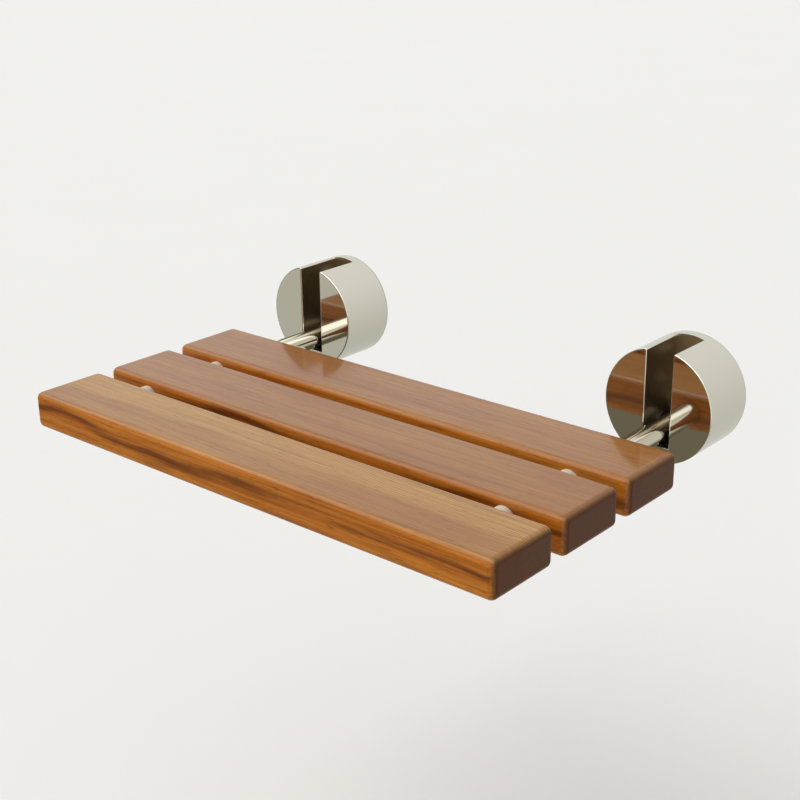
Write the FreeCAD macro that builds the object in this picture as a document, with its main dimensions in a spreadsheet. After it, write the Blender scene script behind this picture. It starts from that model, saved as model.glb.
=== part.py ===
"""A folding wall seat for a shower: three slats on two arms, each arm hinged in a slotted round bracket.

Frame, in millimetres: X runs along the wall, the wall is the plane Y = 0 and the seat reaches towards -Y,
and Z is up. The origin is on the wall, midway between the two brackets and level with their axes. The seat
is drawn down, ready to sit on.
"""
import FreeCAD, Part
import math
import os
import re

import Sketcher

V = FreeCAD.Vector
doc = FreeCAD.newDocument("folding_shower_seat")

# ---------------------------------------------------------------------------------------------------------
# Driving dimensions, in millimetres. Every other size is worked out from these.

SIZES = [
    # seat
    ("seat_width", 508.0, "length of the slats, along the wall"),
    ("slat_width", 71.0, "front to back"),
    ("slat_thickness", 33.0, "top to bottom"),
    ("slat_gap", 13.0, "between two slats"),
    ("slat_edge", 6.0, "radius of a slat's rounded edges"),
    ("arm_inset", 54.0, "from a slat's end to the arm's axis"),
    ("blind_end", 16.0, "wood left in front of an arm in the front slat"),
    ("fold_clearance", 6.84, "between the rear slat and a bracket while folding"),
    ("wall_clearance", 13.5, "between the folded seat and the wall"),
    # arms
    ("arm_diameter", 20.0, "round bar"),
    ("arm_flats", 18.0, "across the flats at the hinge end"),
    ("arm_chamfer", 1.0, "at the front end"),
    ("arm_fit", 0.1, "radial clearance of an arm in a slat or spacer"),
    ("spacer_diameter", 21.2, "outside"),
    ("spacer_edge", 0.2, "rounded rim of a spacer"),
    # slat screws
    ("slat_screw_diameter", 5.0, "shank"),
    ("slat_screw_head", 9.0, "head diameter"),
    ("slat_screw_head_height", 2.6, "head"),
    ("slat_screw_recess", 3.0, "depth of the counterbore in the slat"),
    ("slat_screw_bite", 8.0, "length of thread in the arm"),
    ("screw_fit", 0.2, "radial clearance of a screw in a plain hole"),
    ("thread_fit", 0.05, "radial clearance of a screw in a tapped hole"),
    ("tap_spare", 0.5, "depth of a tapped hole past its screw's tip"),
    ("head_chamfer", 0.7, "at the rim of a screw's head"),
    # brackets
    ("drum_diameter", 101.6, "outside of a bracket"),
    ("drum_depth", 59.0, "wall to the bracket's front face"),
    ("drum_shell", 3.6, "wall thickness of the round side"),
    ("drum_face", 5.0, "thickness of the front face"),
    ("drum_edge", 1.2, "radius of the front face's rim"),
    ("slot_side_gap", 2.5, "each side, between an arm and the slot"),
    ("slot_wall", 4.0, "thickness of the slot's side walls"),
    ("slot_back", 11.0, "wall to the slot's back face"),
    ("slot_corner", 3.0, "radius of the slot floor's corners"),
    ("slot_mouth", 2.5, "radius of the slot's edges along the drum's round side"),
    ("slot_floor_gap", 1.5, "between an arm and the slot's floor"),
    ("sill_height", 15.8, "bottom of the bracket up to the slot's floor"),
    # hinge
    ("hinge_boss_length", 10.0, "slot face to the end of a hinge boss"),
    ("hinge_boss_diameter", 22.0, "outside"),
    ("bush_outside", 13.0, "sleeve diameter of a hinge bush"),
    ("bush_bore", 10.0, "bore of a hinge bush"),
    ("bush_flange", 17.0, "flange diameter of a hinge bush"),
    ("bush_side_play", 0.2, "between a bush's flange and the arm's flat"),
    ("hinge_shoulder", 9.9, "diameter of a hinge screw's shoulder"),
    ("hinge_thread", 8.0, "diameter of a hinge screw's thread"),
    ("hinge_bite", 7.0, "length of a hinge screw's thread in the arm"),
    ("hinge_head", 16.0, "head diameter of a hinge screw"),
    ("hinge_head_height", 5.0, "head of a hinge screw"),
    ("hex_key", 5.0, "across the flats of the screws' hexagon sockets"),
    ("hex_depth", 2.8, "depth of those sockets"),
    ("spring_diameter", 15.5, "outside of a disc spring"),
    ("spring_thickness", 1.2, "pressed flat"),
    # stop pads
    ("pad_width", 12.0, "across the slot"),
    ("pad_length", 12.0, "along the arm"),
    ("pad_recess", 2.0, "sunk in the slot's floor"),
    ("pad_fit", 0.1, "between a pad and its pocket, each side"),
    ("pad_setback", 3.0, "behind the bracket's front face"),
    ("pad_gap", 0.3, "between a pad and the arm above it"),
    # wall side
    ("gasket_thickness", 1.0, "between the bracket's rim and the wall"),
    ("gasket_width", 3.0, "of the ring"),
    ("gasket_inset", 0.3, "inside the bracket's outer edge"),
    ("plate_thickness", 5.0, "wall plate"),
    ("plate_fit", 0.3, "between a wall plate and the bracket around it"),
    ("wall_hole_diameter", 6.6, "holes for the wall screws"),
    ("wall_hole_inset", 11.0, "plate's edge to the middle of a wall hole"),
    ("wall_hole_chamfer", 1.5, "at the holes' mouths"),
    ("drum_screw_diameter", 6.0, "screws that hold a bracket on its plate"),
    ("drum_screw_head", 10.0, "head diameter"),
    ("drum_screw_head_height", 5.0, "head"),
    ("drum_screw_tip", 0.5, "wall to the screws' tips"),
    ("drum_screw_top", 19.0, "bracket's top down to the upper screw"),
    ("drum_screw_pitch", 28.0, "upper screw to lower screw"),
]

sheet = doc.addObject("Spreadsheet::Sheet", "Sizes")
for row, (alias, size, meaning) in enumerate(SIZES, start=1):
    sheet.set(f"A{row}", meaning)
    sheet.set(f"B{row}", str(size))
    sheet.setAlias(f"B{row}", alias)
doc.recompute()


def cells(formula):
    """The formula with every size's name turned into a reference to its cell."""
    names = {alias for alias, _, _ in SIZES}
    return re.sub(r"[a-z_]+", lambda word: f"Sizes.{word[0]}" if word[0] in names else word[0], formula)


# Sizes that follow from the driving ones. Heights and depths are measured from the origin.
DRUM_RADIUS = cells("drum_diameter / 2")
DRUM_INSIDE = cells("(drum_diameter / 2 - drum_shell)")
ARM_RADIUS = cells("arm_diameter / 2")
ARM_X = cells("(seat_width / 2 - arm_inset)")
SLOT_HALF = cells("(arm_diameter / 2 + slot_side_gap)")
SLOT_FLOOR = cells("(sill_height - drum_diameter / 2)")
HINGE_Z = cells("(sill_height - drum_diameter / 2 + slot_floor_gap + arm_diameter / 2)")
HINGE_DEPTH = cells("(slat_thickness / 2 + wall_clearance)")
CORNER_OUT = cells("(drum_depth - slat_thickness / 2 - wall_clearance)")
CORNER_UP = f"({DRUM_RADIUS} - {HINGE_Z})"
SLAT_PITCH = cells("(slat_width + slat_gap)")
# The rear slat starts where it folds clear of the bracket's furthest corner.
REAR_FACE = f"({HINGE_DEPTH} + sqrt({CORNER_OUT} ^ 2 + {CORNER_UP} ^ 2) + Sizes.fold_clearance)"
PLATE_RADIUS = f"({DRUM_INSIDE} - Sizes.plate_fit)"
DRUM_SCREW_HIGH = cells("(drum_diameter / 2 - drum_screw_top)")
DRUM_SCREW_HEIGHTS = (DRUM_SCREW_HIGH, f"({DRUM_SCREW_HIGH} - Sizes.drum_screw_pitch)")
BOSS_END = f"({SLOT_HALF} + Sizes.hinge_boss_length)"
SPRING_END = f"({BOSS_END} + Sizes.spring_thickness)"


def value(formula):
    """What a formula comes to now, in millimetres."""
    result = sheet.evalExpression(str(formula))
    return float(getattr(result, "Value", result))


# ---------------------------------------------------------------------------------------------------------
# Sketch and feature helpers

def new_body(name, place=("0", "0", "0")):
    """An empty body with the sub-part's name, placed at three formulas."""
    body = doc.addObject("PartDesign::Body", name)
    body.Label = name
    body.AllowCompound = True
    for axis, formula in zip("xyz", place):
        body.setExpression(f"Placement.Base.{axis}", formula)
    return body


def new_sketch(body, name, plane, offset="0"):
    """A sketch on one of the body's own origin planes, moved along the plane's normal by a formula."""
    sketch = body.newObject("Sketcher::SketchObject", name)
    origin_plane = next(f for f in body.Origin.OriginFeatures if f.Role == plane)
    sketch.AttachmentSupport = (origin_plane, [""])
    sketch.MapMode = "FlatFace"
    sketch.setExpression("AttachmentOffset.Base.z", offset)
    return sketch


def bind(sketch, kind, geometry, formula):
    """One dimension of a sketch, bound to a formula. A formula of 0 puts the point on an axis instead."""
    if formula == "0":
        axis = -2 if kind == "DistanceX" else -1
        sketch.addConstraint(Sketcher.Constraint("PointOnObject", *geometry, axis))
        return
    if kind == "Radius":
        constraint = Sketcher.Constraint(kind, geometry, value(formula))
    else:
        constraint = Sketcher.Constraint(kind, -1, 1, *geometry, value(formula))
    index = sketch.addConstraint(constraint)
    sketch.setExpression(f"Constraints[{index}]", formula)


def outline(sketch, points):
    """A closed outline of straight lines through points given as pairs of formulas."""
    corners = [V(value(across), value(up), 0) for across, up in points]
    first = sketch.GeometryCount
    count = len(points)
    for index in range(count):
        line = Part.LineSegment(corners[index], corners[(index + 1) % count])
        sketch.addGeometry(line, False)
    for index in range(count):
        after = first + (index + 1) % count
        sketch.addConstraint(Sketcher.Constraint("Coincident", first + index, 2, after, 1))
    for index, (across, up) in enumerate(points):
        bind(sketch, "DistanceX", (first + index, 1), across)
        bind(sketch, "DistanceY", (first + index, 1), up)


def rectangle(sketch, left, low, right, high):
    """A rectangle between four formulas."""
    outline(sketch, [(left, low), (right, low), (right, high), (left, high)])


def circle(sketch, across, up, radius):
    """A circle with its centre and radius given as formulas."""
    centre = V(value(across), value(up), 0)
    index = sketch.addGeometry(Part.Circle(centre, V(0, 0, 1), value(radius)), False)
    bind(sketch, "Radius", index, radius)
    bind(sketch, "DistanceX", (index, 3), across)
    bind(sketch, "DistanceY", (index, 3), up)


def hexagon(sketch, across, up, flats):
    """A hexagon, flats above and below, around a centre given as formulas."""
    half = f"({flats} / 2)"
    corner = f"({flats} / 2 / cos(30 deg))"
    points = []
    for side, height in ((1, 0), (0.5, 1), (-0.5, 1), (-1, 0), (-0.5, -1), (0.5, -1)):
        points.append((f"{across} + {side} * {corner}", f"{up} + {height} * {half}"))
    outline(sketch, points)


def check_volume(body, before, grows, feature):
    """Stop if a feature that should add or cut material didn't."""
    doc.recompute()
    change = body.Shape.Volume - before
    if change * grows <= 0:
        raise RuntimeError(f"{feature} changed {body.Label} by {change:.3f} cubic millimetres")


def grow(body, kind, sketch, **settings):
    """A pad or a revolution. A setting given as text is a formula."""
    return add_feature(body, kind, sketch, 1, settings)


def cut(body, kind, sketch, **settings):
    """A pocket or a groove. A setting given as text is a formula."""
    return add_feature(body, kind, sketch, -1, settings)


def add_feature(body, kind, sketch, grows, settings):
    """A feature made from a sketch, checked to have added or cut material."""
    before = body.Shape.Volume if body.Tip and body.Tip.isDerivedFrom("PartDesign::Feature") else 0.0
    feature = body.newObject(f"PartDesign::{kind}", f"{body.Name}_{kind}")
    feature.Profile = sketch
    sketch.Visibility = False
    for setting, amount in settings.items():
        if setting in ("Length", "Angle") and isinstance(amount, str):
            feature.setExpression(setting, amount)
        else:
            setattr(feature, setting, amount)
    body.Tip = feature
    check_volume(body, before, grows, feature.Name)
    return feature


def origin_part(body, role):
    """One of the body's own axes or planes, as a reference."""
    return (next(f for f in body.Origin.OriginFeatures if f.Role == role), [""])


def mirror(body, feature, plane):
    """The same feature again, mirrored in one of the body's origin planes."""
    pattern = body.newObject("PartDesign::Mirrored", f"{feature.Name}_mirrored")
    pattern.Originals = [feature]
    pattern.MirrorPlane = origin_part(body, plane)
    body.Tip = pattern
    doc.recompute()
    return pattern


def repeat(body, feature, axis, length, count, reverse=False):
    """The same feature in a row along one of the body's axes, over a length given as a formula."""
    pattern = body.newObject("PartDesign::LinearPattern", f"{feature.Name}_row")
    pattern.Originals = [feature]
    pattern.Direction = origin_part(body, axis)
    pattern.setExpression("Length", length)
    pattern.Occurrences = count
    pattern.Reversed = reverse
    body.Tip = pattern
    doc.recompute()
    return pattern


def dress(body, kind, wanted, size):
    """A fillet or chamfer on every edge that the test accepts, its size a formula."""
    base = body.Tip
    names = [f"Edge{i}" for i, edge in enumerate(base.Shape.Edges, start=1) if wanted(edge)]
    if not names:
        raise RuntimeError(f"no edge to {kind} on {body.Label}")
    feature = body.newObject(f"PartDesign::{kind}", f"{body.Name}_{kind}")
    feature.Base = (base, names)
    feature.setExpression("Radius" if kind == "Fillet" else "Size", size)
    body.Tip = feature
    doc.recompute()
    return feature


def middle(edge):
    """The point halfway along an edge."""
    return edge.valueAt((edge.FirstParameter + edge.LastParameter) / 2)


def near(one, other):
    """Whether two lengths are the same, to a micrometre."""
    return abs(one - other) < 1e-3


# ---------------------------------------------------------------------------------------------------------
# Seat: slats, arms, spacers and slat screws

SEAT_SIDES = (("left", "-1"), ("right", "1"))
SLATS = ("rear", "middle", "front")


def slat_y(index):
    """The middle of a slat, counted from the wall outwards."""
    return f"-({REAR_FACE} + Sizes.slat_width / 2 + {index} * {SLAT_PITCH})"


def make_slat(index, name):
    """A board with every edge rounded, bored for both arms and counterbored below for their screws."""
    body = new_body(f"slat_{name}", ("0", slat_y(index), HINGE_Z))
    section = new_sketch(body, f"slat_{name}_section", "YZ_Plane")
    half_wide = cells("slat_width / 2")
    half_thick = cells("slat_thickness / 2")
    rectangle(section, f"-{half_wide}", f"-{half_thick}", half_wide, half_thick)
    grow(body, "Pad", section, Length="Sizes.seat_width", Midplane=True)
    # The radius stays under half the thickness so that the edges always close.
    dress(body, "Fillet", lambda edge: True, cells("min(slat_edge ; slat_thickness * 0.45)"))

    is_front = name == SLATS[-1]
    bore_start = cells("slat_width / 2 - blind_end") if is_front else "0"
    bores = new_sketch(body, f"slat_{name}_bores", "XZ_Plane", bore_start)
    for _, side in SEAT_SIDES:
        circle(bores, f"{side} * {ARM_X}", "0", cells("arm_diameter / 2 + arm_fit"))
    cut(body, "Pocket", bores, Type="ThroughAll", Midplane=not is_front)

    screw_holes = new_sketch(body, f"slat_{name}_screw_holes", "XY_Plane")
    recess = cells("slat_screw_recess - slat_thickness / 2")
    heads = new_sketch(body, f"slat_{name}_heads", "XY_Plane", recess)
    for _, side in SEAT_SIDES:
        circle(screw_holes, f"{side} * {ARM_X}", "0", cells("slat_screw_diameter / 2 + screw_fit"))
        circle(heads, f"{side} * {ARM_X}", "0", cells("slat_screw_head / 2 + screw_fit"))
    cut(body, "Pocket", screw_holes, Type="ThroughAll")
    cut(body, "Pocket", heads, Type="ThroughAll")


def make_arm(side_name, side):
    """A round bar with a ball-nosed, flatted hinge end and a tapped hole for each screw."""
    body = new_body(f"arm_{side_name}", (f"{side} * {ARM_X}", f"-{HINGE_DEPTH}", HINGE_Z))
    front = f"({REAR_FACE} + 2 * {SLAT_PITCH} + Sizes.slat_width - Sizes.blind_end - {HINGE_DEPTH})"
    bar = new_sketch(body, f"arm_{side_name}_bar", "YZ_Plane")
    chamfer = "Sizes.arm_chamfer"
    outline(bar, [
        ("0", "0"),
        ("0", ARM_RADIUS),
        (f"{chamfer} - {front}", ARM_RADIUS),
        (f"-{front}", f"{ARM_RADIUS} - {chamfer}"),
        (f"-{front}", "0"),
    ])
    grow(body, "Revolution", bar, ReferenceAxis=(bar, ["H_Axis"]), Angle=360.0)
    nose = new_sketch(body, f"arm_{side_name}_nose", "YZ_Plane")
    quarter_round(nose, ARM_RADIUS)
    grow(body, "Revolution", nose, ReferenceAxis=(nose, ["H_Axis"]), Angle=360.0)

    flats = new_sketch(body, f"arm_{side_name}_flats", "XY_Plane")
    half_flats = cells("arm_flats / 2")
    past_bar = cells("arm_diameter / 2 + 1")
    for low, high in ((half_flats, past_bar), (f"-({past_bar})", f"-{half_flats}")):
        rectangle(flats, low, cells("-bush_flange / 2 - 1"), high, past_bar)
    cut(body, "Pocket", flats, Type="ThroughAll", Midplane=True)

    hinge_hole = new_sketch(body, f"arm_{side_name}_hinge_hole", "YZ_Plane")
    circle(hinge_hole, "0", "0", cells("hinge_thread / 2 + thread_fit"))
    cut(body, "Pocket", hinge_hole, Type="ThroughAll", Midplane=True)

    tap_top = cells("slat_screw_bite + tap_spare - arm_diameter / 2")
    taps = new_sketch(body, f"arm_{side_name}_taps", "XY_Plane", tap_top)
    for index in range(len(SLATS)):
        circle(taps, "0", f"{slat_y(index)} + {HINGE_DEPTH}", cells("slat_screw_diameter / 2 + thread_fit"))
    cut(body, "Pocket", taps, Type="ThroughAll")


def quarter_round(sketch, radius):
    """A quarter disc about the origin, ahead of and above it."""
    size = value(radius)
    quarter = Part.ArcOfCircle(Part.Circle(V(0, 0, 0), V(0, 0, 1), size), 0, math.pi / 2)
    sketch.addGeometry(quarter, False)
    sketch.addGeometry(Part.LineSegment(V(0, size, 0), V(0, 0, 0)), False)
    sketch.addGeometry(Part.LineSegment(V(0, 0, 0), V(size, 0, 0)), False)
    for ends in ((0, 2, 1, 1), (1, 2, 2, 1), (2, 2, 0, 1), (0, 3, -1, 1), (1, 2, -1, 1)):
        sketch.addConstraint(Sketcher.Constraint("Coincident", *ends))
    sketch.addConstraint(Sketcher.Constraint("Vertical", 1))
    sketch.addConstraint(Sketcher.Constraint("Horizontal", 2))
    bind(sketch, "Radius", 0, radius)


def make_spacer(index, side_name, side):
    """A ring on an arm that fills one gap between two slats."""
    name = f"spacer_{('rear', 'front')[index]}_{side_name}"
    gap_middle = f"-({REAR_FACE} + Sizes.slat_width + Sizes.slat_gap / 2 + {index} * {SLAT_PITCH})"
    body = new_body(name, (f"{side} * {ARM_X}", gap_middle, HINGE_Z))
    ring = new_sketch(body, f"{name}_ring", "XZ_Plane")
    circle(ring, "0", "0", cells("spacer_diameter / 2"))
    circle(ring, "0", "0", cells("arm_diameter / 2 + arm_fit"))
    grow(body, "Pad", ring, Length="Sizes.slat_gap", Midplane=True)
    outside = value(cells("spacer_diameter / 2"))
    dress(body, "Fillet", lambda edge: is_circle(edge, outside), "Sizes.spacer_edge")


def is_circle(edge, radius):
    """Whether an edge is round, with this radius."""
    return isinstance(edge.Curve, Part.Circle) and near(edge.Curve.Radius, radius)


def make_slat_screws(side_name, side):
    """One pan-head screw up through each slat into the arm."""
    body = new_body(f"slat_screws_{side_name}", (f"{side} * {ARM_X}", slat_y(0), HINGE_Z))
    head_low = cells("(slat_screw_recess - slat_thickness / 2 - slat_screw_head_height)")
    head_high = cells("(slat_screw_recess - slat_thickness / 2)")
    tip = cells("(slat_screw_bite - arm_diameter / 2)")
    head = cells("slat_screw_head / 2")
    shank = cells("slat_screw_diameter / 2")
    section = new_sketch(body, f"slat_screws_{side_name}_section", "XZ_Plane")
    outline(section, [
        ("0", head_low),
        (f"{head} - Sizes.head_chamfer", head_low),
        (head, f"{head_low} + Sizes.head_chamfer"),
        (head, head_high),
        (shank, head_high),
        (shank, tip),
        ("0", tip),
    ])
    screw = grow(body, "Revolution", section, ReferenceAxis=(section, ["V_Axis"]), Angle=360.0)
    repeat(body, screw, "Y_Axis", f"{len(SLATS) - 1} * {SLAT_PITCH}", len(SLATS), reverse=True)


# ---------------------------------------------------------------------------------------------------------
# Brackets: drum, hinge and wall side. A bracket part's own frame has X = 0 on the drum's axis.

def bracket_body(name, side):
    """An empty body of a bracket, on the drum's axis at the wall."""
    return new_body(name, (f"{side} * {ARM_X}", "0", "0"))


def segment(sketch, radius, chord, side):
    """A round segment: the part of a disc that lies beyond a vertical chord, on one side of it."""
    reach = value(radius)
    half_angle = math.acos(value(chord) / reach)
    middle_angle = 0.0 if side > 0 else math.pi
    start, end = middle_angle - half_angle, middle_angle + half_angle
    arc = Part.ArcOfCircle(Part.Circle(V(0, 0, 0), V(0, 0, 1), reach), start, end)
    first = sketch.addGeometry(arc, False)
    sketch.addGeometry(Part.LineSegment(arc.EndPoint, arc.StartPoint), False)
    sketch.addConstraint(Sketcher.Constraint("Coincident", first, 3, -1, 1))
    sketch.addConstraint(Sketcher.Constraint("Coincident", first, 2, first + 1, 1))
    sketch.addConstraint(Sketcher.Constraint("Coincident", first + 1, 2, first, 1))
    sketch.addConstraint(Sketcher.Constraint("Vertical", first + 1))
    bind(sketch, "Radius", first, radius)
    bind(sketch, "DistanceX", (first + 1, 1), chord if side > 0 else f"-({chord})")


def make_drum(side_name, side):
    """A cast cup, open to the wall, with a slot for the arm and a hinge boss on each side of the slot."""
    name = f"drum_{side_name}"
    body = bracket_body(name, side)
    rim = new_sketch(body, f"{name}_rim", "XZ_Plane", "Sizes.gasket_thickness")
    circle(rim, "0", "0", DRUM_RADIUS)
    grow(body, "Pad", rim, Length=cells("drum_depth - gasket_thickness"))

    # Two hollows, one each side of the slot's walls; the metal below the slot stays solid.
    slot_wall_face = f"({SLOT_HALF} + Sizes.slot_wall)"
    hollows = new_sketch(body, f"{name}_hollows", "XZ_Plane")
    for direction in (1, -1):
        segment(hollows, DRUM_INSIDE, slot_wall_face, direction)
    cut(body, "Pocket", hollows, Length=cells("drum_depth - drum_face"), Reversed=True)

    plate_room = new_sketch(body, f"{name}_plate_room", "XZ_Plane")
    circle(plate_room, "0", "0", DRUM_INSIDE)
    cut(body, "Pocket", plate_room, Length=cells("plate_thickness + plate_fit"), Reversed=True)

    bosses = new_sketch(body, f"{name}_bosses", "YZ_Plane")
    circle(bosses, f"-{HINGE_DEPTH}", HINGE_Z, cells("hinge_boss_diameter / 2"))
    boss_span = f"2 * ({SLOT_HALF} + Sizes.hinge_boss_length)"
    grow(body, "Pad", bosses, Length=boss_span, Midplane=True)

    slot = new_sketch(body, f"{name}_slot", "XZ_Plane", "Sizes.slot_back")
    rectangle(slot, f"-{SLOT_HALF}", SLOT_FLOOR, SLOT_HALF, f"{DRUM_RADIUS} + 1")
    cut(body, "Pocket", slot, Type="ThroughAll", Reversed=True)
    floor, half = value(SLOT_FLOOR), value(SLOT_HALF)

    def floor_corner(edge):
        at = middle(edge)
        return near(at.z, floor) and near(abs(at.x), half) and edge.Length > half
    dress(body, "Fillet", floor_corner, "Sizes.slot_corner")

    mouth = math.sqrt(value(DRUM_RADIUS) ** 2 - half ** 2)

    def mouth_edge(edge):
        at = middle(edge)
        return near(at.z, mouth) and near(abs(at.x), half) and edge.Length > half
    dress(body, "Fillet", mouth_edge, "Sizes.slot_mouth")

    bush_holes = new_sketch(body, f"{name}_bush_holes", "YZ_Plane")
    circle(bush_holes, f"-{HINGE_DEPTH}", HINGE_Z, cells("bush_outside / 2"))
    cut(body, "Pocket", bush_holes, Length=f"{boss_span} + 1", Midplane=True)

    screw_holes = new_sketch(body, f"{name}_screw_holes", "XZ_Plane")
    for height in DRUM_SCREW_HEIGHTS:
        circle(screw_holes, "0", height, cells("drum_screw_diameter / 2 + screw_fit"))
    cut(body, "Pocket", screw_holes, Length="Sizes.slot_back + 1", Reversed=True)

    pad_room = new_sketch(body, f"{name}_pad_room", "XY_Plane", f"{SLOT_FLOOR} - Sizes.pad_recess")
    rectangle(pad_room, *pad_edges(""))
    cut(body, "Pocket", pad_room, Length=cells("pad_recess + 1"), Reversed=True)

    front = -value("Sizes.drum_depth")
    dress(body, "Fillet", lambda edge: near(middle(edge).y, front), "Sizes.drum_edge")


def pad_edges(shrink):
    """Left, rear, right and front of a stop pad, drawn in by a formula such as ' - Sizes.pad_fit'."""
    half = f"(Sizes.pad_width / 2{shrink})"
    front = f"(Sizes.pad_setback - Sizes.drum_depth{shrink.replace('-', '+')})"
    rear = f"(Sizes.pad_setback + Sizes.pad_length - Sizes.drum_depth{shrink})"
    return f"-{half}", front, half, rear


def make_stop_pad(side_name, side):
    """A pad let into the slot's floor, under the arm."""
    name = f"stop_pad_{side_name}"
    body = bracket_body(name, side)
    plan = new_sketch(body, f"{name}_plan", "XY_Plane", f"{SLOT_FLOOR} - Sizes.pad_recess")
    rectangle(plan, *pad_edges(" - Sizes.pad_fit"))
    grow(body, "Pad", plan, Length=cells("pad_recess + slot_floor_gap - pad_gap"))


def hinge_ring(name, side, points):
    """A turned part about the hinge axis on the right of the arm, and its mirror image on the left."""
    body = new_body(name, (f"{side} * {ARM_X}", f"-{HINGE_DEPTH}", HINGE_Z))
    section = new_sketch(body, f"{name}_section", "XZ_Plane")
    outline(section, points)
    turned = grow(body, "Revolution", section, ReferenceAxis=(section, ["H_Axis"]), Angle=360.0)
    return body, turned


def make_bushes(side_name, side):
    """A flanged sleeve in each side wall of the slot, its flange against the arm's flat."""
    bore, sleeve, flange = (cells(f"{size} / 2") for size in ("bush_bore", "bush_outside", "bush_flange"))
    flange_face = cells("(arm_flats / 2 + bush_side_play)")
    body, bush = hinge_ring(f"hinge_bushes_{side_name}", side, [
        (flange_face, bore),
        (BOSS_END, bore),
        (BOSS_END, sleeve),
        (SLOT_HALF, sleeve),
        (SLOT_HALF, flange),
        (flange_face, flange),
    ])
    mirror(body, bush, "YZ_Plane")


def make_disc_springs(side_name, side):
    """A washer between each boss and its hinge screw's head."""
    bore = cells("bush_bore / 2 + screw_fit")
    rim = cells("spring_diameter / 2")
    body, spring = hinge_ring(f"disc_springs_{side_name}", side, [
        (BOSS_END, bore), (SPRING_END, bore), (SPRING_END, rim), (BOSS_END, rim),
    ])
    mirror(body, spring, "YZ_Plane")


def make_hinge_screws(side_name, side):
    """A shoulder screw through each bush into the arm, turning with the arm."""
    sizes = ("hinge_thread", "hinge_shoulder", "hinge_head")
    thread, shoulder, head = (cells(f"{size} / 2") for size in sizes)
    flat = cells("arm_flats / 2")
    head_end = f"({SPRING_END} + Sizes.hinge_head_height)"
    name = f"hinge_screws_{side_name}"
    body, screw = hinge_ring(name, side, [
        (f"{flat} - Sizes.hinge_bite", "0"),
        (f"{flat} - Sizes.hinge_bite", thread),
        (flat, thread),
        (flat, shoulder),
        (SPRING_END, shoulder),
        (SPRING_END, head),
        (f"{head_end} - Sizes.head_chamfer", head),
        (head_end, f"{head} - Sizes.head_chamfer"),
        (head_end, "0"),
    ])
    mirror(body, screw, "YZ_Plane")
    socket = new_sketch(body, f"{name}_socket", "YZ_Plane", f"{head_end} - Sizes.hex_depth")
    hexagon(socket, "0", "0", "Sizes.hex_key")
    hexes = cut(body, "Pocket", socket, Type="ThroughAll", Reversed=True)
    mirror(body, hexes, "YZ_Plane")


def make_wall_plate(side_name, side):
    """A round plate with four holes for wall screws and two tapped holes for the drum's screws."""
    name = f"wall_plate_{side_name}"
    body = bracket_body(name, side)
    disc = new_sketch(body, f"{name}_disc", "XZ_Plane")
    circle(disc, "0", "0", PLATE_RADIUS)
    grow(body, "Pad", disc, Length="Sizes.plate_thickness")

    # One hole on each diagonal of the plate.
    across = f"(({PLATE_RADIUS} - Sizes.wall_hole_inset) * sin(45 deg))"
    holes = new_sketch(body, f"{name}_holes", "XZ_Plane")
    circle(holes, across, across, cells("wall_hole_diameter / 2"))
    hole = cut(body, "Pocket", holes, Type="ThroughAll", Reversed=True)
    pattern = body.newObject("PartDesign::PolarPattern", f"{name}_hole_ring")
    pattern.Originals = [hole]
    pattern.Axis = origin_part(body, "Y_Axis")
    pattern.Angle = 360.0
    pattern.Occurrences = 4
    body.Tip = pattern
    doc.recompute()
    front, radius = -value("Sizes.plate_thickness"), value(cells("wall_hole_diameter / 2"))

    def mouth(edge):
        return is_circle(edge, radius) and near(edge.Curve.Center.y, front)
    dress(body, "Chamfer", mouth, "Sizes.wall_hole_chamfer")

    taps = new_sketch(body, f"{name}_taps", "XZ_Plane")
    for height in DRUM_SCREW_HEIGHTS:
        circle(taps, "0", height, cells("drum_screw_diameter / 2 + thread_fit"))
    cut(body, "Pocket", taps, Type="ThroughAll", Reversed=True)


def make_drum_screws(side_name, side):
    """Two socket-head screws in the slot's back wall, one above the other."""
    name = f"drum_screws_{side_name}"
    body = new_body(name, (f"{side} * {ARM_X}", "0", DRUM_SCREW_HIGH))
    shank, head = cells("drum_screw_diameter / 2"), cells("drum_screw_head / 2")
    seat, top = "Sizes.slot_back", cells("(slot_back + drum_screw_head_height)")
    section = new_sketch(body, f"{name}_section", "YZ_Plane")
    outline(section, [
        ("-Sizes.drum_screw_tip", "0"),
        ("-Sizes.drum_screw_tip", shank),
        (f"-{seat}", shank),
        (f"-{seat}", head),
        (f"-({top} - Sizes.head_chamfer)", head),
        (f"-{top}", f"{head} - Sizes.head_chamfer"),
        (f"-{top}", "0"),
    ])
    screw = grow(body, "Revolution", section, ReferenceAxis=(section, ["H_Axis"]), Angle=360.0)
    repeat(body, screw, "Z_Axis", "Sizes.drum_screw_pitch", 2, reverse=True)
    socket = new_sketch(body, f"{name}_socket", "XZ_Plane", f"{top} - Sizes.hex_depth")
    hexagon(socket, "0", "0", "Sizes.hex_key")
    hexes = cut(body, "Pocket", socket, Type="ThroughAll", Reversed=True)
    repeat(body, hexes, "Z_Axis", "Sizes.drum_screw_pitch", 2, reverse=True)


def make_gasket(side_name, side):
    """A flat ring between the drum's rim and the wall."""
    name = f"gasket_{side_name}"
    body = bracket_body(name, side)
    outer = cells("(drum_diameter / 2 - gasket_inset)")
    ring = new_sketch(body, f"{name}_ring", "XZ_Plane")
    circle(ring, "0", "0", outer)
    circle(ring, "0", "0", f"{outer} - Sizes.gasket_width")
    grow(body, "Pad", ring, Length="Sizes.gasket_thickness")


# ---------------------------------------------------------------------------------------------------------

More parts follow.
